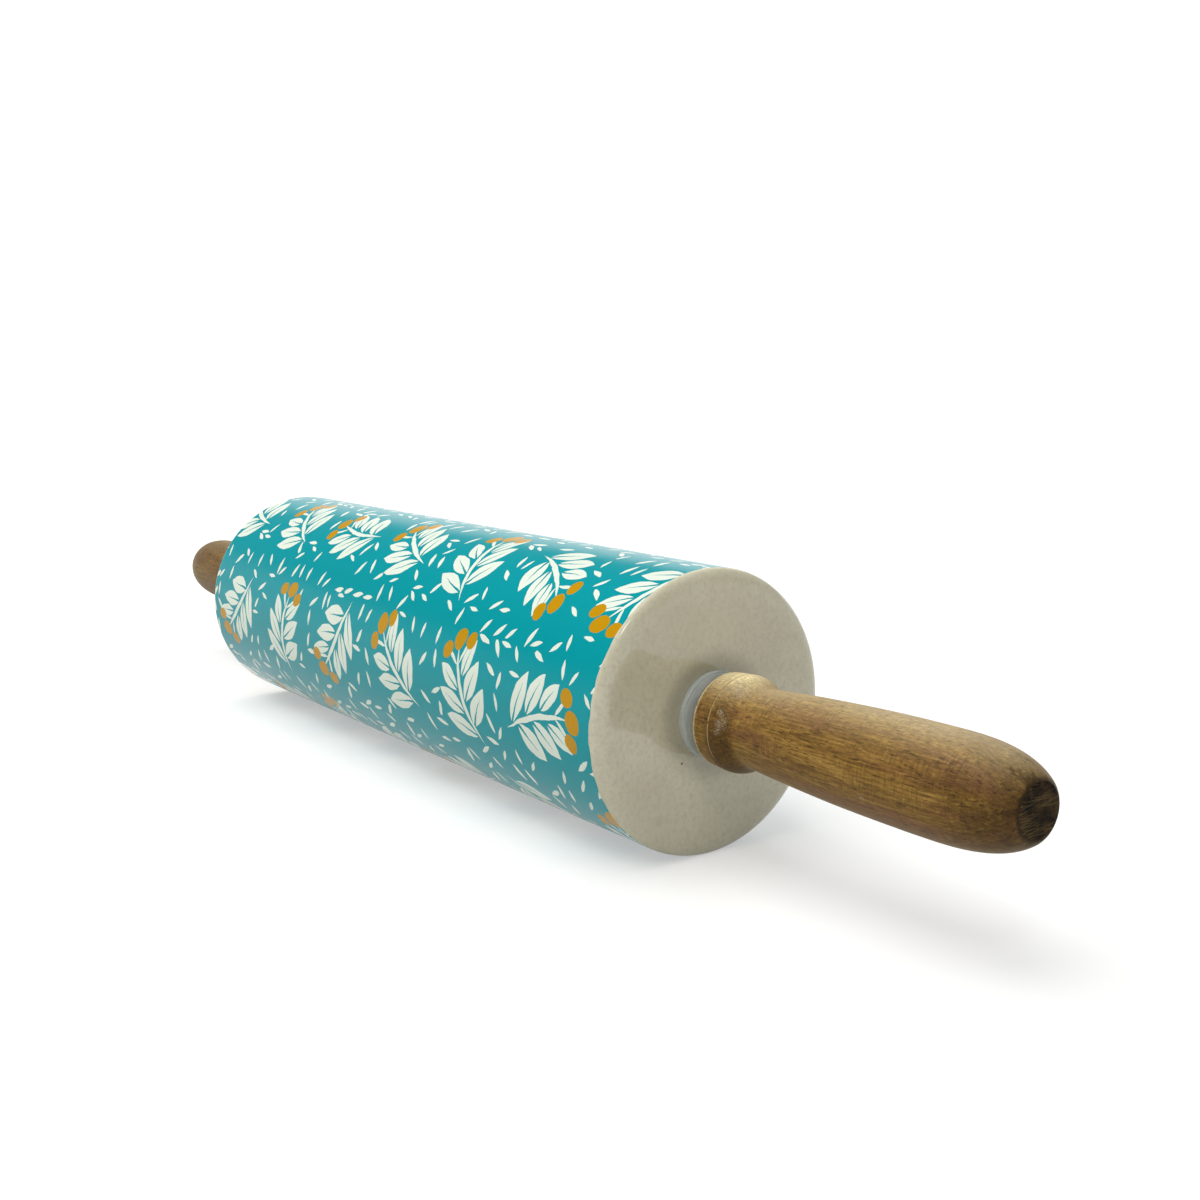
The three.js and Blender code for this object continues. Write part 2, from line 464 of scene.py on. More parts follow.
    def motifs(self, tree: Tree, flat: Node) -> tuple[Node, Node]:
        """The sprigs and seeds of the print.

        Args:
            tree: the print's node tree.
            flat: the place on the unrolled barrel, in mm.

        Returns:
            Two values that are 1 inside the cream and inside the mustard parts of the print, and 0 elsewhere.
        """
        sprig = add(tree, "SeparateXYZ", {0: self.cell(tree, flat)})
        share = add(tree, "Math", {0: sprig.outputs["Y"], 1: self.sprig_half_length}, operation="DIVIDE")
        bow = add(tree, "Math", {0: share, 1: share}, operation="MULTIPLY")
        straight = add(tree, "Math", {0: bow, 1: self.bend, 2: sprig.outputs["X"]}, operation="MULTIPLY_ADD")
        sign = add(tree, "Math", {0: straight}, operation="SIGN")
        apart = add(tree, "Math", {0: sign, 1: self.stagger, 2: sprig.outputs["Y"]},
                    operation="MULTIPLY_ADD")
        folded = add(tree, "Math", {0: straight}, operation="ABSOLUTE")
        half = add(tree, "CombineXYZ", {"X": folded, "Y": apart})
        whole = add(tree, "CombineXYZ", {"X": folded, "Y": sprig.outputs["Y"]})
        stem = self.leaf(tree, whole, self.stem, vein=0.0)
        stalk = self.leaf(tree, whole, self.stalk, vein=0.0)
        green = add(tree, "Math", {0: stem, 1: stalk}, operation="MINIMUM")
        for shape in self.leaves:
            green = add(tree, "Math", {0: green, 1: self.leaf(tree, half, shape)}, operation="MINIMUM")
        fruit = None
        for across, along, radius in self.berries:
            off = add(tree, "VectorMath", {0: whole, 1: (across, along, 0.0)}, operation="DISTANCE")
            size = add(tree, "Math", {0: off.outputs["Value"], 1: radius}, operation="DIVIDE")
            fruit = size if fruit is None else add(tree, "Math", {0: fruit, 1: size}, operation="MINIMUM")
        seeds = self.seeds(tree, flat)
        leafy = add(tree, "Math", {0: green, 1: 0.0}, operation="LESS_THAN")
        cream = add(tree, "Math", {0: leafy, 1: seeds}, operation="MAXIMUM")
        return cream, add(tree, "Math", {0: fruit, 1: 1.0}, operation="LESS_THAN")

    def seeds(self, tree: Tree, flat: Node) -> Node:
        """Pointed seeds scattered between the sprigs, each the figure |x| / w + y^2 / l^2 < 1.

        Each has one point of a jittered grid as its middle, and is left out where that middle lies within the
        oval x^2 / w^2 + y^2 / l^2 < 1 that its cell's sprig fills.

        Args:
            tree: the print's node tree.
            flat: the place on the unrolled barrel, in mm.

        Returns:
            A value that is 1 inside the seeds and 0 elsewhere.
        """
        spots = add(tree, "TexVoronoi", {"Vector": flat, "Scale": 1.0 / self.seed_pitch, "Randomness": 0.8},
                    voronoi_dimensions="2D")
        oval = (self.sprig_half_width, self.sprig_half_length, 1.0)
        home = add(tree, "VectorMath", {0: self.cell(tree, spots.outputs["Position"]), 1: oval},
                   operation="DIVIDE")
        reach = add(tree, "VectorMath", {0: home}, operation="LENGTH").outputs["Value"]
        clear = add(tree, "Math", {0: reach, 1: 1.0}, operation="GREATER_THAN")
        chance = add(tree, "SeparateColor", {0: spots.outputs["Color"]})
        lean = add(tree, "Math", {0: chance.outputs["Red"], 1: math.pi}, operation="MULTIPLY")
        away = add(tree, "VectorMath", {0: flat, 1: spots.outputs["Position"]}, operation="SUBTRACT")
        turned = add(tree, "VectorRotate", {"Vector": away, "Angle": lean}, rotation_type="Z_AXIS")
        size = add(tree, "MapRange", {"Value": chance.outputs["Green"], "To Min": 0.7, "To Max": 1.0})
        xyz = add(tree, "SeparateXYZ", {0: turned})
        across = add(tree, "Math", {0: xyz.outputs["X"], 1: size}, operation="DIVIDE")
        along = add(tree, "Math", {0: xyz.outputs["Y"], 1: size}, operation="DIVIDE")
        off = add(tree, "Math", {0: across}, operation="ABSOLUTE")
        slim = add(tree, "Math", {0: along, 1: along}, operation="MULTIPLY")
        point = self.seed_half_width / self.seed_half_length ** 2
        rim = add(tree, "Math", {0: slim, 1: point, 2: off}, operation="MULTIPLY_ADD")
        inside = add(tree, "Math", {0: rim, 1: self.seed_half_width}, operation="LESS_THAN")
        return add(tree, "Math", {0: inside, 1: clear}, operation="MULTIPLY")

    def shader(self, tree: Tree) -> Node:
        """Lays the print on the barrel and leaves its edges bare.

        Args:
            tree: the material's node tree.

        Returns:
            The node that gives the shader.
        """
        mm = millimetres(tree)
        xyz = add(tree, "SeparateXYZ", {0: mm})
        turn = add(tree, "Math", {0: xyz.outputs["Y"], 1: xyz.outputs["Z"]}, operation="ARCTAN2")
        around = add(tree, "Math", {0: turn, 1: self.radius}, operation="MULTIPLY")
        exact = add(tree, "CombineXYZ", {"X": around, "Y": xyz.outputs["X"]})
        waver = add(tree, "TexNoise", {"Vector": mm, "Scale": 1.0 / self.waver_size, "Detail": 2.0})
        centred = add(tree, "VectorMath", {0: waver.outputs["Color"], 1: (0.5, 0.5, 0.5)},
                      operation="SUBTRACT")
        drift = add(tree, "VectorMath", {0: centred, "Scale": 2.0 * self.hand_waver}, operation="SCALE")
        flat = add(tree, "VectorMath", {0: exact, 1: drift}, operation="ADD")
        cream, mustard = self.motifs(tree, flat)
        inked = add(tree, "Mix", {"Factor": cream, "A": linear(self.ground), "B": linear(self.cream)},
                    data_type="RGBA")
        fruited = add(tree, "Mix", {"Factor": mustard, "A": inked, "B": linear(self.mustard)},
                      data_type="RGBA")

        # The print stops short of the rim, on a slightly uneven line.
        ends = add(tree, "Math", {0: xyz.outputs["X"]}, operation="ABSOLUTE")
        uneven = add(tree, "Math", {0: waver.outputs["Fac"], 1: self.edge_waver, 2: ends},
                     operation="MULTIPLY_ADD")
        line = self.half_length - self.margin + self.edge_waver / 2.0
        bare = add(tree, "Math", {0: uneven, 1: line}, operation="GREATER_THAN")

        colour = add(tree, "Mix", {"Factor": bare, "A": fruited, "B": self.bare(tree, mm)}, data_type="RGBA")
        return add(tree, "BsdfPrincipled", {"Base Color": colour, "Roughness": 0.2, "IOR": 1.5,
                                            "Specular IOR Level": 0.1, "Normal": self.skin(tree, mm)})


@dataclass(frozen=True, kw_only=True)
class TurnedAcacia(Finish):
    """Acacia, turned, sanded and lightly oiled. Sizes are in mm.

    The eye sees fine golden-brown fibres along the grip, ruddy streaks, short dark pores, faint sanding lines
    across the grain, a painted highlight on top, painted shade on the underside and a browner rounded end.
    The scored line and the collar's edge are worn pale, with painted shade in the cove beside the line.
    """

    side: Side
    face: float
    tip: float
    score: float
    # The radius of the grip and of its tip, and the length over which it falls from one to the other.
    girth: float = 11.2
    end_girth: float = 8.4
    end_length: float = 13.0
    # The painted highlight on top: how strong, how many times as strong by the collar, and where that eases.
    top_highlight: float = 0.42
    collar_highlight: float = 2.4
    collar_reach: Pair = (10.0, 30.0)
    # How deep the underside's painted shade is, and the heights, as shares of the girth, between which it
    # deepens.
    oil: float = 0.65
    underside_shade_reach: Pair = (-0.55, -0.95)
    # How far the browning and the stains of the rounded end wander, and from where to where, counted from the
    # tip, they deepen on average.
    browning_wander: float = 30.0
    browning_reach: Pair = (-24.0, 0.0)
    stain_wander: float = 60.0
    stain_reach: Pair = (-3.0, 7.0)
    # How much the sanding lightens and darkens the wood, and how light the handle is as a whole.
    sanding: float = 0.3
    tone: float = 1.02
    # The grain, from its dark layers to its pale ones, and what colours it further.
    grain: Stops = ((0.32, "#553a14"), (0.42, "#715221"), (0.50, "#87652c"), (0.58, "#9b7838"),
                    (0.69, "#b3914d"))
    ruddy: str = "#785034"
    pored: str = "#3a250b"
    painted_highlight: str = "#ead8a6"
    painted_underside_shade: str = "#3a2810"
    browned: str = "#2c1e10"
    stained: str = "#2c1f0f"
    edged: str = "#1d140a"
    painted_cove_shade: str = "#33230d"
    rubbed: str = "#d8c292"
    scuffed: str = "#d9cfb8"
    sheen: str = "#f3e6c4"
    # The middle of the tree, across and up from the handle's axis, how far the growth layers stray from rings
    # round it, how thick a layer is, and how far it runs along the handle before its colour changes.
    pith: Pair = (38.0, -26.0)
    stray: float = 7.0
    layer: float = 5.0 / 3.0
    run: float = 139.0
    # Each scuffed place on a handle that points to +X: its middle along from the handle's face, across and up
    # from its axis, its reach, and how white it is.
    scuffs: tuple[tuple[Point, float, float], ...] = (
        ((8.3, -9.4, 4.2), 1.4, 0.36), ((8.8, -10.1, 1.9), 1.7, 0.42), ((8.2, -10.4, 0.2), 1.1, 0.42),
        ((9.7, -9.6, 3.2), 1.3, 0.25), ((9.5, -4.6, 8.8), 3.4, 0.3), ((51.8, -10.5, -3.8), 1.1, 0.25))

    def band(self, tree: Tree, along: Node, middle: float, half_width: float, soft: float) -> Node:
        """A value of 1 near a place along the handle.

        Args:
            tree: the material's node tree.
            along: the place along the handle, in mm.
            middle: the middle of the band, in mm.
            half_width: how far each way the value is 1, in mm.
            soft: over how many mm it then falls to 0.

        Returns:
            The node that gives the value.
        """
        off = add(tree, "Math", {0: along, 1: middle}, operation="SUBTRACT")
        away = add(tree, "Math", {0: off}, operation="ABSOLUTE")
        return add(tree, "MapRange", {"Value": away, "From Min": half_width + soft, "From Max": half_width},
                   interpolation_type="SMOOTHSTEP")

    def figure(self, tree: Tree, mm: Node, pitch: Pair, detail: float = 3.0) -> Socket:
        """The wood's uneven figure, a value about 0.5 that is drawn out along or across the grain.

        Args:
            tree: the material's node tree.
            mm: the surface point, in mm.
            pitch: the size of its features along and across the grain, in mm.
            detail: how many times finer features are added.

        Returns:
            The socket that gives the value.
        """
        along, across = pitch
        drawn = add(tree, "VectorMath", {0: mm, 1: (along, across, across)}, operation="DIVIDE")
        noise = add(tree, "TexNoise", {"Vector": drawn, "Scale": 1.0, "Detail": detail, "Roughness": 0.65})
        return noise.outputs["Fac"]

    def grown(self, tree: Tree, mm: Node, streak: Socket) -> tuple[Node, Node]:
        """The wood as it grew.

        Args:
            tree: the material's node tree.
            mm: the surface point, in mm.
            streak: the value of its growth layers, about 0.5.

        Returns:
            The colour, and the depth of the pores from 0 to 1.
        """
        fibre = self.figure(tree, mm, (13.0, 0.5))
        grain = add(tree, "Mix", {"Factor": 0.55, "A": streak, "B": fibre}, data_type="FLOAT")
        colour = add(tree, "ValToRGB", {"Fac": grain}, stops=self.grain)
        warm = add(tree, "MapRange", {"Value": self.figure(tree, mm, (40.0, 5.0), 1.0), "From Min": 0.45,
                                      "From Max": 0.68, "To Max": 0.6})
        pore = add(tree, "MapRange", {"Value": self.figure(tree, mm, (2.6, 0.4), 2.0), "From Min": 0.58,
                                      "From Max": 0.66, "To Max": 0.72})
        for share, tint in ((warm, self.ruddy), (pore, self.pored)):
            colour = add(tree, "Mix", {"Factor": share, "A": colour, "B": linear(tint)}, data_type="RGBA")
        return colour, pore

    def sanded(self, tree: Tree, mm: Node, colour: Node) -> Node:
        """The wood after sanding: fine marks across the grain and a fuzz of fibre ends, lighter and darker.

        Real marks are finer than the render shows, so both are drawn as coarse as they need to show.

        Args:
            tree: the material's node tree.
            mm: the surface point, in mm.
            colour: the colour before.

        Returns:
            The colour after.
        """
        least, most = 1.0 - self.sanding, 1.0 + self.sanding
        lines = add(tree, "MapRange", {"Value": self.figure(tree, mm, (0.5, 3.5)), "From Min": 0.3,
                                       "From Max": 0.7, "To Min": least, "To Max": most})
        patchy = add(tree, "MapRange", {"Value": self.figure(tree, mm, (14.0, 7.0), 1.0), "From Min": 0.4,
                                        "From Max": 0.6})
        lined = add(tree, "Mix", {"Factor": patchy, "A": 1.0, "B": lines}, data_type="FLOAT")
        fuzz = add(tree, "MapRange", {"Value": self.figure(tree, mm, (1.6, 0.4)), "From Min": 0.3,
                                      "From Max": 0.7, "To Min": least * self.tone,
                                      "To Max": most * self.tone})
        both = add(tree, "Math", {0: lined, 1: fuzz}, operation="MULTIPLY")
        return add(tree, "VectorMath", {0: colour, "Scale": both}, operation="SCALE")

    def tipped(self, tree: Tree, mm: Node, along: Node, height: Socket, colour: Node) -> Node:
        """The rounded end, browner with oil and dirt and stained in places, less so on top, with a dark edge.

        Args:
            tree: the material's node tree.
            mm: the surface point, in mm.
            along: the place along the handle, in mm.
            height: the height above the axis, in mm.
            colour: the colour before.

        Returns:
            The colour after.
        """
        length = self.tip - self.face
        smear = self.figure(tree, mm, (9.0, 4.0))
        soak = add(tree, "Math", {0: smear, 1: self.browning_wander, 2: along}, operation="MULTIPLY_ADD")
        start, full = (length + self.browning_wander / 2.0 + place for place in self.browning_reach)
        soiled = add(tree, "MapRange", {"Value": height, "From Min": 1.0, "From Max": 8.0, "To Min": 0.55,
                                        "To Max": 0.32})
        browner = add(tree, "MapRange", {"Value": soak, "From Min": start, "From Max": full,
                                         "To Max": soiled}, interpolation_type="SMOOTHSTEP")
        pool = add(tree, "Math", {0: self.figure(tree, mm, (6.0, 2.2)), 1: self.stain_wander, 2: along},
                   operation="MULTIPLY_ADD")
        start, full = (length + self.stain_wander / 2.0 + place for place in self.stain_reach)
        stain = add(tree, "MapRange", {"Value": pool, "From Min": start, "From Max": full, "To Max": 0.6},
                    interpolation_type="SMOOTHSTEP")
        edge = add(tree, "MapRange", {"Value": along, "From Min": length - 0.7, "From Max": length - 0.15,
                                      "To Max": 0.75}, interpolation_type="SMOOTHSTEP")
        for share, tint in ((browner, self.browned), (stain, self.stained), (edge, self.edged)):
            colour = add(tree, "Mix", {"Factor": share, "A": colour, "B": linear(tint)}, data_type="RGBA")
        return colour

    def worn(self, tree: Tree, mm: Node, along: Node, height: Socket, colour: Node) -> Node:
        """Round the collar: painted shade in the cove, and wear: a pale scored line and edge, and scuffs.

        Args:
            tree: the material's node tree.
            mm: the surface point, in mm.
            along: the place along the handle, in mm.
            height: the height above the axis, in mm.
            colour: the colour before.

        Returns:
            The colour after.
        """
        # Painted shade in the cove beside the scored line, deepest on its lower side.
        under = add(tree, "MapRange", {"Value": height, "From Min": 7.0, "From Max": -1.0, "To Max": 0.62})
        cove = self.band(tree, along, middle=self.score + 2.4, half_width=1.8, soft=3.0)
        cove_shade = add(tree, "Math", {0: cove, 1: under}, operation="MULTIPLY")
        fleck = self.figure(tree, mm, (0.4, 0.5))
        broken = add(tree, "MapRange", {"Value": fleck, "From Min": 0.36, "From Max": 0.5})
        line = self.band(tree, along, middle=self.score, half_width=0.12, soft=0.12)
        edge = self.band(tree, along, middle=0.55, half_width=0.25, soft=0.3)
        pale = add(tree, "Math", {0: line, 1: edge}, operation="MAXIMUM")
        rubbed = add(tree, "Math", {0: pale, 1: broken}, operation="MULTIPLY")
        layers = [(cove_shade, self.painted_cove_shade), (rubbed, self.rubbed)]
        # Each scuff shows where fine nicks, raised towards its middle, pass a level.
        sign = self.side.value
        own = add(tree, "VectorMath", {0: mm, 1: (sign, sign, 1.0)}, operation="MULTIPLY")
        nick = self.figure(tree, mm, (0.22, 0.3), 2.0)
        for (place, across, up), reach, whiteness in self.scuffs:
            middle = (self.face + place, across, up)
            off = add(tree, "VectorMath", {0: own, 1: middle}, operation="DISTANCE").outputs["Value"]
            spread = add(tree, "MapRange", {"Value": off, "From Min": reach, "From Max": 0.3 * reach,
                                            "To Max": 0.14})
            raised = add(tree, "Math", {0: nick, 1: spread}, operation="ADD")
            scuff = add(tree, "MapRange", {"Value": raised, "From Min": 0.58, "From Max": 0.74,
                                           "To Max": whiteness})
            inside = add(tree, "Math", {0: spread, 1: 0.02}, operation="GREATER_THAN")
            within = add(tree, "Math", {0: scuff, 1: inside}, operation="MULTIPLY")
            layers.append((within, self.scuffed))
        for share, tint in layers:
            colour = add(tree, "Mix", {"Factor": share, "A": colour, "B": linear(tint)}, data_type="RGBA")
        return colour

    def painted_light_and_shade(self, tree: Tree, along: Node, height: Socket, colour: Node) -> Node:
        """The painted light on the wood: a highlight on top, as the fifth power of its height, and shade
        underneath.

        Args:
            tree: the material's node tree.
            along: the place along the handle, in mm.
            height: the height above the axis, in mm.
            colour: the colour before.

        Returns:
            The colour after.
        """
        length = self.tip - self.face
        girth = add(tree, "MapRange", {"Value": along, "From Min": length - self.end_length,
                                       "From Max": length, "To Min": self.girth, "To Max": self.end_girth})
        share = add(tree, "Math", {0: height, 1: girth}, operation="DIVIDE")
        raised = add(tree, "Math", {0: share, 1: 0.0}, operation="MAXIMUM")
        # Painted highlight: the top pales as the fifth power of its height, most by the collar.
        top_falloff = add(tree, "Math", {0: raised, 1: 5.0}, operation="POWER")
        near, far = self.collar_reach
        most = add(tree, "MapRange", {"Value": along, "From Min": near, "From Max": far,
                                      "To Min": self.collar_highlight * self.top_highlight, "To Max": self.top_highlight})
        highlight_share = add(tree, "Math", {0: top_falloff, 1: most}, operation="MULTIPLY", use_clamp=True)
        # Painted shade: the underside darkens between these heights.
        start, full = self.underside_shade_reach
        under = add(tree, "MapRange", {"Value": share, "From Min": start, "From Max": full,
                                       "To Max": self.oil})
        for part, tint in ((highlight_share, self.painted_highlight), (under, self.painted_underside_shade)):
            colour = add(tree, "Mix", {"Factor": part, "A": colour, "B": linear(tint)}, data_type="RGBA")
        return colour

    def shader(self, tree: Tree) -> Node:
        """Grows grain along X round a pith outside the handle, paints light and shade, then sands and wears
        it.

        Args:
            tree: the material's node tree.

        Returns:
            The node that gives the shader.
        """
        mm = millimetres(tree)
        xyz = add(tree, "SeparateXYZ", {0: mm})
        end = add(tree, "Math", {0: xyz.outputs["X"]}, operation="ABSOLUTE")
        along = add(tree, "Math", {0: end, 1: self.face}, operation="SUBTRACT")

        # Growth layers: the distance from the pith, bent over about 8 mm across the grain.
        stray = self.figure(tree, mm, (160.0, 8.0))
        flat = add(tree, "VectorMath", {0: mm, 1: (0.0, 1.0, 1.0)}, operation="MULTIPLY")
        layer = add(tree, "VectorMath", {0: flat, 1: (0.0, *self.pith)}, operation="DISTANCE")
        bent = add(tree, "Math", {0: stray, 1: self.stray, 2: layer.outputs["Value"]},
                   operation="MULTIPLY_ADD")
        sheet = add(tree, "CombineXYZ", {"X": bent, "Y": xyz.outputs["X"]})
        drawn = add(tree, "VectorMath", {0: sheet, 1: (self.layer, self.run, 1.0)}, operation="DIVIDE")
        layers = add(tree, "TexNoise", {"Vector": drawn, "Scale": 1.0, "Detail": 6.0, "Roughness": 0.68})
        streak = layers.outputs["Fac"]

        colour, pore = self.grown(tree, mm, streak)
        height = xyz.outputs["Z"]
        sanded = self.sanded(tree, mm, self.painted_light_and_shade(tree, along, height, colour))
        used = self.worn(tree, mm, along, height, self.tipped(tree, mm, along, height, sanded))

        relief = add(tree, "Math", {0: pore, 1: -1.0, 2: streak}, operation="MULTIPLY_ADD")
        skin = add(tree, "Bump", {"Height": relief, "Strength": 0.4, "Distance": 0.0001})
        return add(tree, "BsdfPrincipled", {"Base Color": used, "Roughness": 0.55, "IOR": 1.5,
                                            "Specular IOR Level": 0.12, "Sheen Weight": 0.3,
                                            "Sheen Roughness": 0.4, "Sheen Tint": linear(self.sheen),
                                            "Normal": skin})


@dataclass(frozen=True)
class SawnEndGrain(Finish):
    """The sawn end of an acacia handle, dark with oil and dirt.

    The eye sees a nearly black disc with browner patches and fine, paler scratches that are nearly parallel.
    """

    dark: str = "#0c0702"
    brown: str = "#46351f"
    scratched: str = "#857049"
    # The size of a patch, and the length and width of a scratch, in mm.
    patch_size: float = 3.125
    scratch_size: Pair = (8.0, 0.25)
    # The lean of each set of scratches, in degrees from level.
    leans: tuple[float, ...] = (-12.0, 3.0)

    def shader(self, tree: Tree) -> Node:
        """Patches under two sets of scratches.

        Args:
            tree: the material's node tree.

        Returns:
            The node that gives the shader.
        """
        mm = millimetres(tree)
        patch = add(tree, "TexNoise", {"Vector": mm, "Scale": 1.0 / self.patch_size, "Detail": 5.0,
                                       "Roughness": 0.66})
        colour = add(tree, "ValToRGB", {"Fac": patch.outputs["Fac"]},
                     stops=((0.4, self.dark), (0.62, self.brown)))
        for lean in self.leans:
            turned = add(tree, "VectorRotate", {"Vector": mm, "Angle": math.radians(lean)},
                         rotation_type="X_AXIS")
            drawn = add(tree, "VectorMath", {0: turned, 1: (1.0, *self.scratch_size)}, operation="DIVIDE")
            line = add(tree, "TexNoise", {"Vector": drawn, "Scale": 1.0, "Detail": 1.0})
            scratch = add(tree, "MapRange", {"Value": line.outputs["Fac"], "From Min": 0.56, "From Max": 0.76,
                                             "To Max": 0.45})
            colour = add(tree, "Mix", {"Factor": scratch, "A": colour, "B": linear(self.scratched)},
                         data_type="RGBA")
        skin = add(tree, "Bump", {"Height": patch.outputs["Fac"], "Strength": 0.3, "Distance": 0.0001})
        return add(tree, "BsdfPrincipled", {"Base Color": colour, "Roughness": 0.7,
                                            "Specular IOR Level": 0.08, "Normal": skin})


@dataclass(frozen=True, kw_only=True)
class MouldedPolymer(Finish):
    """Natural polymer, injection moulded and satin, such as polypropylene or nylon. Sizes are in mm.

    The eye sees a milky, greyish plastic that lets some light through, with fine scuffs, and darkens next
    to the handle with dirt and painted shade.
    """

    end_face: float
    clear: str = "#ced5ce"
    cloudy: str = "#dde2db"
    dirtied_and_shaded: str = "#4f4b38"
    clearness: float = 0.25
    roughness: float = 0.34
    cloud_size: float = 4.0
    scuff_size: float = 0.4
    # How far from the barrel's end face the dirt and painted shade start and are full, and their share there.
    dirt_and_shade_reach: Pair = (0.8, 3.1)
    dirt_and_shade: float = 0.5

    def shader(self, tree: Tree) -> Node:
        """Clouds the plastic, adds dirt and painted shade by the handle, and lets part of the light through.

        Args:
            tree: the material's node tree.

        Returns:
            The node that gives the shader.
        """
        mm = millimetres(tree)
        cloud = add(tree, "TexNoise", {"Vector": mm, "Scale": 1.0 / self.cloud_size, "Detail": 3.0})
        clouded = add(tree, "ValToRGB", {"Fac": cloud.outputs["Fac"]},
                      stops=((0.35, self.clear), (0.7, self.cloudy)))
        xyz = add(tree, "SeparateXYZ", {0: mm})
        end = add(tree, "Math", {0: xyz.outputs["X"]}, operation="ABSOLUTE")
        # Dirt and painted shade darken the plastic towards the handle.
        start, full = self.dirt_and_shade_reach
        dirt_and_shade = add(tree, "MapRange", {"Value": end, "From Min": self.end_face + start,
                                      "From Max": self.end_face + full, "To Max": self.dirt_and_shade},
                   interpolation_type="SMOOTHSTEP")
        colour = add(tree, "Mix", {"Factor": dirt_and_shade, "A": clouded, "B": linear(self.dirtied_and_shaded)}, data_type="RGBA")
        scuff = add(tree, "TexNoise", {"Vector": mm, "Scale": 1.0 / self.scuff_size, "Detail": 2.0})
        skin = add(tree, "Bump", {"Height": scuff.outputs["Fac"], "Strength": 0.2, "Distance": 0.00005})
        return add(tree, "BsdfPrincipled", {
            "Base Color": colour, "Roughness": self.roughness, "IOR": 1.49, "Normal": skin,
            "Transmission Weight": self.clearness, "Subsurface Weight": 0.3,
            "Subsurface Radius": (1.0, 1.0, 1.0), "Subsurface Scale": 0.002})


@dataclass(frozen=True)
class DrawnMetal(Finish):
    """Bar metal, drawn or turned. The eye sees fine lines that blur its reflections along one way."""

    light: str = "#c3c5c8"
    dark: str = "#9da0a4"
    # How often the lines recur in each mm along X, Y and Z.
    line: Point = (0.05, 6.0, 6.0)
    roughness: float = 0.3

    def shader(self, tree: Tree) -> Node:
        """Streaks colour and gloss with lines about 0.2 mm apart, coarser than real so that they show.

        Args:
            tree: the material's node tree.

        Returns:
            The node that gives the shader.
        """
        mm = millimetres(tree)
        lines = add(tree, "Mapping", {"Vector": mm, "Scale": self.line})
        streak = add(tree, "TexNoise", {"Vector": lines, "Scale": 1.0, "Detail": 3.0})
        colour = add(tree, "ValToRGB", {"Fac": streak.outputs["Fac"]},
                     stops=((0.35, self.dark), (0.65, self.light)))
        gloss = add(tree, "MapRange", {"Value": streak.outputs["Fac"], "To Min": self.roughness - 0.1,
                                       "To Max": self.roughness + 0.15})
        skin = add(tree, "Bump", {"Height": streak.outputs["Fac"], "Strength": 0.3, "Distance": 0.00003})
        return add(tree, "BsdfPrincipled", {"Base Color": colour, "Metallic": 1.0, "Roughness": gloss,
                                            "Normal": skin})


@dataclass
class Barrel:
    """The hollow ceramic barrel. Sizes are in mm."""

    radius: float
    half_length: float
    rim_round: float = 2.4
    rim_depth: float = 5.2
    wall: float = 7.0
    end_wall: float = 8.0
    cavity_fillet: float = 6.0
    mouth: float = 7.8
    mouth_round: float = 0.6
    sides: int = 256
    lengthwise: int = 120
    unevenness: float = 0.04
    # How slowly the waves in the wall turn round it and rise along it, as mm for each radian.
    waves: Pair = (40.0, 23.0)
    # The share of the rim's depth that has the printed finish.
    printed_rim: float = 0.05

    @classmethod
    def from_frame(cls) -> "Barrel":
        """The barrel at the size of its solid."""
        _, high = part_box("barrel")
        return cls(radius=high[2] * PER_METRE, half_length=high[0] * PER_METRE)

    def profile(self) -> np.ndarray:
        """The wall's outline: outside from the left rim to the right, then back along the cavity.

        Each rim is a quarter of an ellipse, rim_round long and rim_depth deep.

        Returns:
            An array of (along, radius) rows.
        """
        end, rim, depth = self.half_length, self.rim_round, self.rim_depth
        cavity = end - self.end_wall
        inner = self.radius - self.wall
        lip = self.mouth_round
        right = np.concatenate([
            stretch(np.linspace(0.0, end - rim, self.lengthwise, endpoint=False), self.radius),
            arc(0.0, 0.0, 1.0, 0.0, 90.0, 24) * (rim, depth) + (end - rim, self.radius - depth),
            stretch(np.full(20, end), np.linspace(self.radius - depth, self.mouth + lip, 22)[1:-1]),
            arc(end - lip, self.mouth + lip, -lip, -90.0, 0.0, 6),
            corners((cavity, self.mouth)),
            arc(cavity - self.cavity_fillet, inner - self.cavity_fillet, self.cavity_fillet, 90.0, 0.0, 10),
        ])
        left = (right * (-1.0, 1.0))[::-1]
        return np.concatenate([right, left[:-1]])

    def build(self, printed: bpy.types.Material, plain: bpy.types.Material) -> None:
        """Makes the barrel. Its wall runs in by a few hundredths of a mm in slow waves, as a casting does.

        Args:
            printed: the finish of the outside.
            plain: the finish of the rims, the ends and the cavity.
        """
        profile = self.profile()
        angle = np.linspace(0.0, FULL_TURN, self.sides, endpoint=False)
        along = profile[:, :1]
        twist, rise = self.waves
        wave = np.cos(2.0 * angle + along / twist) * np.cos(along / rise) - 1.0
        outside = profile[:, 1:] > self.radius - self.rim_depth
        swell = 0.5 * self.unevenness * wave * outside
        zones = np.where(profile[:, 1] > self.radius - self.printed_rim * self.rim_depth, 0, 1)
        piece = revolve("glazed_barrel", profile, self.sides, Side.RIGHT, swell, zones)
        settle(piece, [printed, plain], Carrier.BARREL, "barrel")


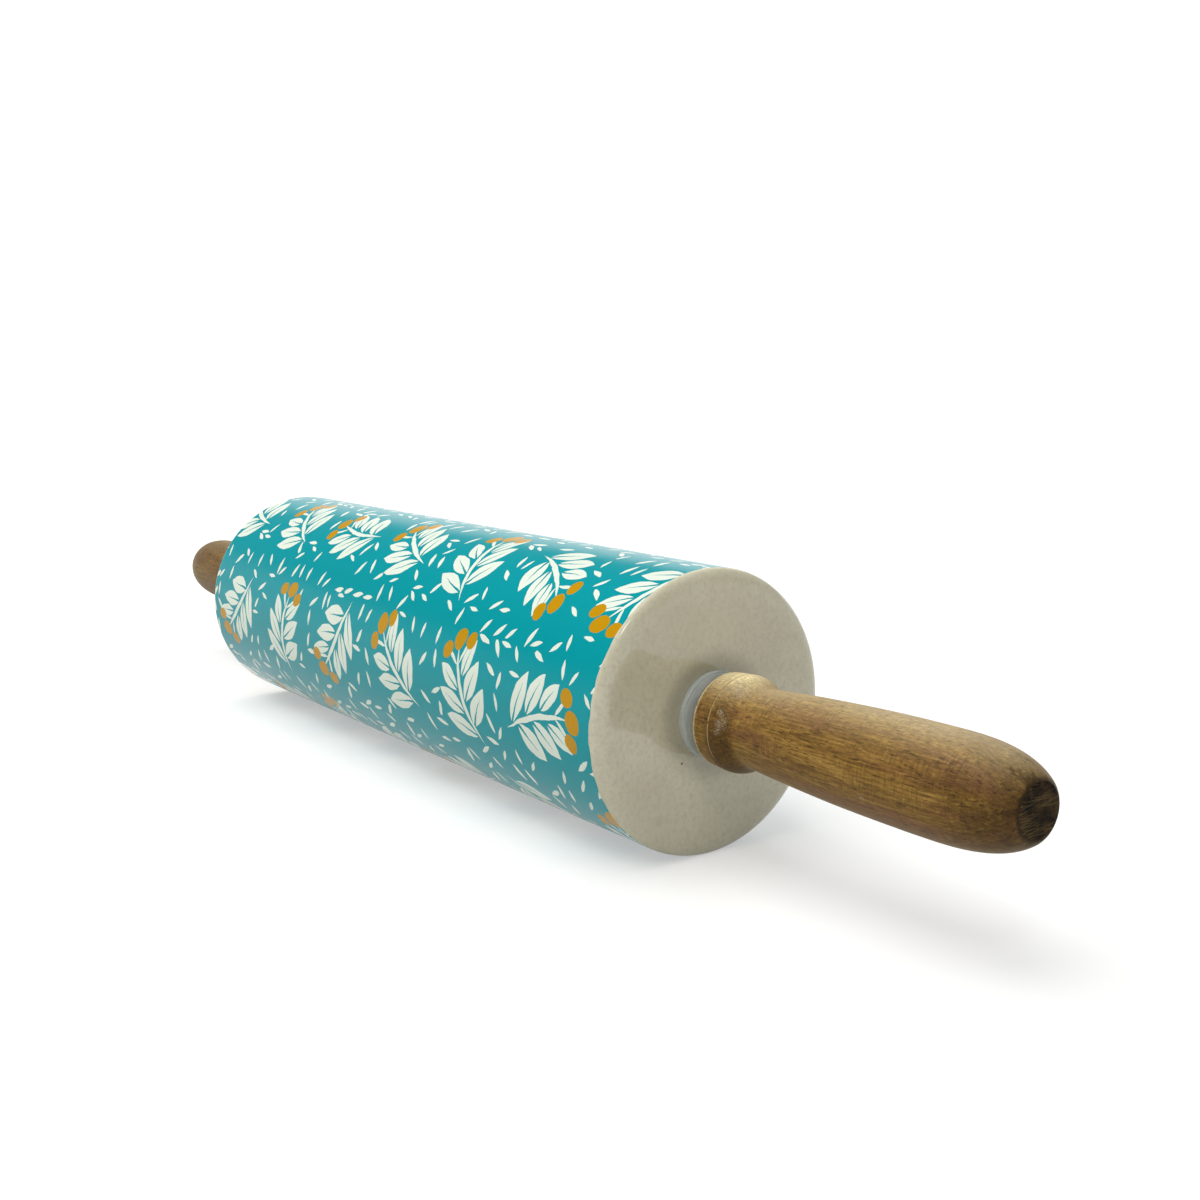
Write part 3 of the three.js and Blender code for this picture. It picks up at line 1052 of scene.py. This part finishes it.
@dataclass
class EndBearing:
    """The plastic bush in one end of the barrel, and the washer beside its handle. Sizes are in mm."""

    side: Side
    seat: float
    spigot_end: float
    top: float
    washer: Pair
    bore: float = 4.3
    bore_chamfer: float = 0.4
    spigot: float = 7.5
    spigot_chamfer: float = 0.8
    seat_gap: float = 0.02
    flange: float = 10.5
    flange_thickness: float = 1.6
    flange_draft: float = 0.1
    flange_round: float = 0.25
    nose: float = 10.0
    nose_round: float = 1.9
    washer_radius: float = 9.7
    washer_bore: float = 3.3
    washer_round: float = 0.25
    sides: int = 128

    @classmethod
    def from_frame(cls, side: Side, seat: float) -> "EndBearing":
        """The bush and washer where their solids stand.

        Args:
            side: the end of the pin.
            seat: the place of the barrel's end face, in mm from the middle.

        Returns:
            The bearing of that end.
        """
        low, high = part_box(Side.RIGHT.node("bush"))
        washer_low, washer_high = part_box(Side.RIGHT.node("washer"))
        return cls(side=side, seat=seat, spigot_end=low[0] * PER_METRE, top=high[0] * PER_METRE,
                   washer=(washer_low[0] * PER_METRE, washer_high[0] * PER_METRE))

    def bush_profile(self) -> np.ndarray:
        """The bush's outline: out along the spigot and flange, over the nose and back through the bore.

        Returns:
            An array of (along, radius) rows.
        """
        seat = self.seat + self.seat_gap
        flange_top = self.seat + self.flange_thickness
        soft = self.flange_round
        step = self.flange - self.nose - soft
        return np.concatenate([
            corners((self.spigot_end, self.bore), (self.spigot_end, self.spigot - self.spigot_chamfer),
                    (self.spigot_end + self.spigot_chamfer, self.spigot), (seat, self.spigot),
                    (seat, self.flange - self.flange_draft)),
            arc(flange_top - soft, self.flange - soft, soft, 0.0, 90.0, 8),
            arc(flange_top + step, self.nose + step, -step, 90.0, 0.0, 6)[1:],
            arc(self.top - self.nose_round, self.nose - self.nose_round, self.nose_round, 0.0, 90.0, 10),
            corners((self.top, self.bore + self.bore_chamfer), (self.top - self.bore_chamfer, self.bore)),
        ])

    def washer_profile(self) -> np.ndarray:
        """The washer's outline, with rounded edges.

        Returns:
            An array of (along, radius) rows.
        """
        low, high = self.washer
        soft = self.washer_round
        return np.concatenate([
            corners((low, self.washer_bore)),
            arc(low + soft, self.washer_radius - soft, soft, -90.0, 0.0, 5),
            arc(high - soft, self.washer_radius - soft, soft, 0.0, 90.0, 5),
            corners((high, self.washer_bore)),
        ])

    def build(self, plastic: bpy.types.Material, nylon: bpy.types.Material) -> None:
        """Makes the bush, which turns with the barrel, and the washer, which stays with the handle.

        Args:
            plastic: the finish of the bush.
            nylon: the finish of the washer.
        """
        bush = revolve(self.side.node("flanged_bush"), self.bush_profile(), self.sides, self.side)
        settle(bush, [plastic], Carrier.BARREL, self.side.node("bush"))
        washer = revolve(self.side.node("thrust_washer"), self.washer_profile(), self.sides, self.side)
        settle(washer, [nylon], Carrier.HANDLES, self.side.node("washer"))


@dataclass
class Handle:
    """One turned handle. Sizes are in mm, and places run from the handle's face towards its tip."""

    side: Side
    face: float
    tip: float
    collar: float = 11.3
    collar_taper: float = 0.35
    collar_edge: float = 0.6
    band: float = 5.4
    score_width: float = 0.6
    score_depth: float = 0.4
    cove: float = 6.2
    neck: float = 9.2
    belly: float = 11.25
    rounded_end: float = 24.0
    rounded_end_power: float = 3.0
    tip_flat: float = 6.0
    tip_round: float = 1.0
    bore: float = 5.6
    bore_depth: float = 31.0
    drill_point: float = 2.5
    # How far back from the tip the sawn finish reaches.
    sawn: float = 0.15
    sides: int = 128
    unevenness: float = 0.05
    # How slowly the waves in the grip turn round it and rise along it, as mm for each radian.
    waves: Pair = (11.0, 6.5)

    @classmethod
    def from_frame(cls, side: Side) -> "Handle":
        """The handle where its solid stands."""
        low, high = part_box(Side.RIGHT.node("handle"))
        return cls(side=side, face=low[0] * PER_METRE, tip=high[0] * PER_METRE)

    def score(self) -> float:
        """The place of the scored line's middle, from the handle's face."""
        return self.band + self.score_width / 2.0

    def profile(self) -> np.ndarray:
        """The handle's outline: out of the bore, over the collar and the grip, to the middle of the tip.

        The band rises evenly to the scored line, whose floor is half a cosine wave. The cove falls as half a
        cosine wave, the grip bows as 1 - (1 - u)^2, the rounded end closes as the root of 1 - u^3, and a
        quadratic curve wears its edge.

        Returns:
            An array of (along, radius) rows.
        """
        face, collar, belly = self.face, self.collar, self.belly
        start = face + self.band
        neck_at = start + self.score_width + self.cove
        belly_at = self.tip - self.rounded_end
        low = collar - self.collar_taper
        u = np.linspace(0.0, 1.0, 13)
        score = stretch(start + self.score_width * u, collar - self.score_depth * np.sin(math.pi * u) ** 2)
        u = np.linspace(0.0, 1.0, 41)[1:]
        cove = stretch(start + self.score_width + self.cove * u,
                       self.neck + (collar - self.neck) * (1.0 + np.cos(math.pi * u)) / 2.0)
        u = np.linspace(0.0, 1.0, 81)[1:]
        grip = stretch(neck_at + (belly_at - neck_at) * u, belly - (belly - self.neck) * (1.0 - u) ** 2)
        cut = (1.0 - (self.tip_flat / belly) ** 2) ** (1.0 / self.rounded_end_power)
        soft = self.tip_round
        u = np.linspace(0.0, 1.0 - soft / self.rounded_end, 64)[1:]
        closing = stretch(belly_at + self.rounded_end * u,
                          belly * np.sqrt(1.0 - (u * cut) ** self.rounded_end_power))
        u = np.linspace(0.0, 1.0, 12)[1:, None]
        edge = np.array([closing[-1], (self.tip, self.tip_flat), (self.tip, self.tip_flat - soft)])
        worn = (1.0 - u) ** 2 * edge[0] + 2.0 * u * (1.0 - u) * edge[1] + u ** 2 * edge[2]
        return np.concatenate([
            corners((face + self.bore_depth + self.drill_point, 0.0), (face + self.bore_depth, self.bore),
                    (face, self.bore)),
            stretch(np.full(8, face), np.linspace(self.bore, low - self.collar_edge, 10)[1:-1]),
            arc(face + self.collar_edge, low - self.collar_edge, self.collar_edge, -90.0, 0.0, 8),
            stretch(np.linspace(face + self.collar_edge, start, 14)[1:-1],
                    np.linspace(low, collar, 14)[1:-1]),
            score, cove, grip, closing, worn,
            stretch(np.full(8, self.tip), np.linspace(self.tip_flat - soft, 0.0, 10)[1:-1]),
            corners((self.tip, 0.0)),
        ])

    def build(self, turned: bpy.types.Material, sawn: bpy.types.Material) -> None:
        """Makes the handle. Sanding leaves it out of round by a few hundredths of a mm, in slow waves.

        Args:
            turned: the finish of the handle.
            sawn: the finish of the flat at its tip.
        """
        profile = self.profile()
        angle = np.linspace(0.0, FULL_TURN, self.sides, endpoint=False)
        along = profile[:, :1]
        twist, rise = self.waves
        wave = np.cos(3.0 * angle + along / twist + self.side.value) * np.sin(along / rise) - 1.0
        past_score = along > self.face + self.band + self.score_width
        grip = (profile[:, 1:] > self.bore + self.unevenness) * past_score
        swell = 0.5 * self.unevenness * wave * grip * (profile[:, 1:] > self.tip_flat)
        zones = np.where(profile[:-1, 0] > self.tip - self.sawn, 1, 0)
        piece = revolve(self.side.node("turned_handle"), profile, self.sides, self.side, swell, zones)
        settle(piece, [turned, sawn], Carrier.HANDLES, self.side.node("handle"))


@dataclass
class HiddenMetal:
    """The axle rod and the threaded inserts, which are sealed inside and keep their solids."""

    steel: DrawnMetal = field(default_factory=lambda: DrawnMetal("zinc_plated_steel_drawn"))
    brass: DrawnMetal = field(default_factory=lambda: DrawnMetal(
        "brass_turned", light="#d2b06a", dark="#a98545", line=(5.0, 0.3, 0.3), roughness=0.34))

    def dress(self) -> None:
        """Gives the rod and the inserts their metal."""
        brass = self.brass.material()
        metals = {"axle_rod": self.steel.material()} | {side.node("insert"): brass for side in Side}
        for node, metal in metals.items():
            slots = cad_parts[node].data.materials
            slots.clear()
            slots.append(metal)
            LOG.info("%s: dressed in %s", node, metal.name)


@dataclass(frozen=True)
class PaleSweep(Finish):
    """Matt white paint on the studio sweep. Its glow lifts it to white and leaves it the pin's shadow."""

    paint: str = "#d0d0ce"
    # The glow near the pin and far from it, and the distances in metres between which it rises.
    near_lift: float = 0.43
    far_lift: float = 0.82
    near: float = 0.25
    far: float = 1.3

    def shader(self, tree: Tree) -> Node:
        """A white wall paint, with a glow that only camera, mirror and glass rays see.

        Args:
            tree: the material's node tree.

        Returns:
            The node that gives the shader.
        """
        point = add(tree, "TexCoord").outputs["Object"]
        away = add(tree, "VectorMath", {0: point}, operation="LENGTH").outputs["Value"]
        lift = add(tree, "MapRange", {"Value": away, "From Min": self.near, "From Max": self.far,
                                      "To Min": self.near_lift, "To Max": self.far_lift},
                   interpolation_type="SMOOTHSTEP")
        glow = add(tree, "Math", {0: background_rays(tree), 1: lift}, operation="MULTIPLY")
        paint = add(tree, "BsdfDiffuse", {"Color": linear(self.paint)})
        lifted = add(tree, "Emission", {"Strength": glow})
        return add(tree, "AddShader", {0: paint, 1: lifted})


@dataclass(frozen=True)
class Softbox:
    """A square soft light. Its place and aim are in metres, its power in watts."""

    name: str
    place: Point
    aim: Point
    size: float
    power: float

    def hang(self) -> None:
        """Adds the light to the scene."""
        lamp = bpy.data.lights.new(self.name, "AREA")
        lamp.shape = "SQUARE"
        lamp.size = self.size
        lamp.energy = self.power
        light = bpy.data.objects.new(self.name, lamp)
        light.location = self.place
        light.rotation_euler = (Vector(self.aim) - Vector(self.place)).to_track_quat("-Z", "Y").to_euler()
        bpy.context.scene.collection.objects.link(light)


@dataclass
class Studio:
    """The floor, the soft lights and the camera.

    The sweep's sizes are in metres. The camera's place and aim are in mm, in the pin's frame.
    """

    sweep_half_width: float = 5.0
    sweep_front: float = 4.0
    sweep_back: float = 2.5
    sweep_bend: float = 0.6
    sweep_height: float = 1.0
    # The even light of the room, the ceiling's brightness in gloss, and the sines of the heights between
    # which gloss goes from the white horizon to the ceiling.
    ambient: float = 0.36
    ceiling: float = 0.12
    horizon: Pair = (0.04, 0.3)
    camera_place: Point = (363.06, -213.67, 80.43)
    camera_aim: Point = (66.44, 0.0, 20.83)
    lens: float = 43.86
    sensor: float = 36.0
    softboxes: tuple[Softbox, ...] = (
        Softbox("key_softbox", (-0.25, -0.5, 1.5), (0.0, 0.0, 0.0), 1.6, 23.0),
        Softbox("back_softbox", (-0.6, 0.9, 1.0), (0.0, 0.0, 0.0), 0.9, 4.0),
        Softbox("rim_softbox", (0.84, -0.69, 1.16), (0.11, 0.0, 0.0), 0.3, 2.4),
    )

    def sweep(self) -> None:
        """Lays the floor under the barrel's lowest line and bends it up behind the pin, away from the camera.

        The surface is a profile of (away, height), carried sideways: flat from the front to the bend, a
        quarter circle, and a short wall.
        """
        ahead = np.array([b - a for a, b in zip(self.camera_place, self.camera_aim)]) * (1.0, 1.0, 0.0)
        ahead /= np.linalg.norm(ahead)
        sideways = np.array([ahead[1], -ahead[0], 0.0])
        angle = np.linspace(0.0, math.pi / 2.0, 24)
        flat_end = self.sweep_back - self.sweep_bend
        away = np.concatenate([np.linspace(-self.sweep_front, flat_end, 40)[:-1],
                               flat_end + self.sweep_bend * np.sin(angle), [self.sweep_back]])
        height = np.concatenate([np.zeros(39), self.sweep_bend * (1.0 - np.cos(angle)), [self.sweep_height]])
        rows = away[:, None] * ahead + (height[:, None] + CAD_BOX[0][2]) * (0.0, 0.0, 1.0)
        reach = self.sweep_half_width * sideways
        points = np.stack([rows - reach, rows + reach], axis=1)
        first = 2 * np.arange(len(rows) - 1)[:, None]
        mesh = bpy.data.meshes.new("studio_sweep")
        mesh.from_pydata(points.reshape(-1, 3).tolist(), [], (first + (0, 1, 3, 2)).tolist())
        mesh.shade_smooth()
        mesh.materials.append(PaleSweep("studio_sweep_matt_paint").material())
        sweep = bpy.data.objects.new("studio_sweep", mesh)
        bpy.context.scene.collection.objects.link(sweep)

    def world(self) -> None:
        """Lights the room evenly and dimly from all round, and shows white behind the sweep.

        Gloss sees that white down at the horizon, and a dim ceiling overhead.
        """
        world = bpy.data.worlds.new("studio_world")
        world.use_nodes = True
        tree = world.node_tree
        tree.nodes.clear()
        up = add(tree, "SeparateXYZ", {0: add(tree, "TexCoord").outputs["Generated"]}).outputs["Z"]
        low, high = self.horizon
        overhead = add(tree, "MapRange", {"Value": up, "From Min": low, "From Max": high, "To Min": 1.0,
                                          "To Max": self.ceiling}, interpolation_type="SMOOTHSTEP")
        direct = add(tree, "LightPath").outputs["Is Camera Ray"]
        shown = add(tree, "Math", {0: overhead, 1: direct}, operation="MAXIMUM")
        strength = add(tree, "Mix", {"Factor": background_rays(tree), "A": self.ambient, "B": shown},
                       data_type="FLOAT")
        glow = add(tree, "Background", {"Color": linear("#ffffff"), "Strength": strength})
        add(tree, "OutputWorld", {"Surface": glow})
        bpy.context.scene.world = world

    def camera(self) -> None:
        """Sets the camera at the photograph's viewing angle."""
        lens = bpy.data.cameras.new("photo_camera")
        lens.lens = self.lens
        lens.sensor_width = self.sensor
        lens.clip_start = 0.01
        eye = bpy.data.objects.new("photo_camera", lens)
        place, aim = Vector(self.camera_place) * MM, Vector(self.camera_aim) * MM
        eye.location = place
        eye.rotation_euler = (aim - place).to_track_quat("-Z", "Y").to_euler()
        bpy.context.scene.collection.objects.link(eye)
        bpy.context.scene.camera = eye

    def build(self) -> None:
        """Sets up the whole studio."""
        self.camera()
        self.sweep()
        self.world()
        for softbox in self.softboxes:
            softbox.hang()
        bpy.context.scene.view_settings.view_transform = "Standard"


def main() -> None:
    """Builds the studio and every piece of the pin."""
    logging.basicConfig(level=logging.INFO, format="%(name)s: %(message)s")
    Studio().build()
    barrel = Barrel.from_frame()
    printed = PrintedGlaze("earthenware_printed_and_glazed", radius=barrel.radius,
                           half_length=barrel.half_length)
    plain = PlainGlaze("earthenware_glazed", half_length=barrel.half_length)
    barrel.build(printed.material(), plain.material())
    polypropylene = MouldedPolymer("polypropylene_moulded", end_face=barrel.half_length).material()
    nylon = MouldedPolymer("nylon_moulded", end_face=barrel.half_length, clear="#c6cac6", cloudy="#d8dad4",
                           clearness=0.1).material()
    end_grain = SawnEndGrain("acacia_end_grain_sawn").material()
    # The left handle is painted in shade: darker, and with less of the painted highlight on top.
    painted_light_by_side: dict[Side, dict[str, float]] = {Side.RIGHT: {}, Side.LEFT: {"top_highlight": 0.2, "tone": 0.7}}
    for side in Side:
        EndBearing.from_frame(side, barrel.half_length).build(polypropylene, nylon)
        handle = Handle.from_frame(side)
        acacia = TurnedAcacia(side.node("acacia_turned_and_oiled"), side=side, face=handle.face,
                              tip=handle.tip, score=handle.score(), **painted_light_by_side[side])
        handle.build(acacia.material(), end_grain)
    HiddenMetal().dress()


if __name__ == "__main__":
    main()
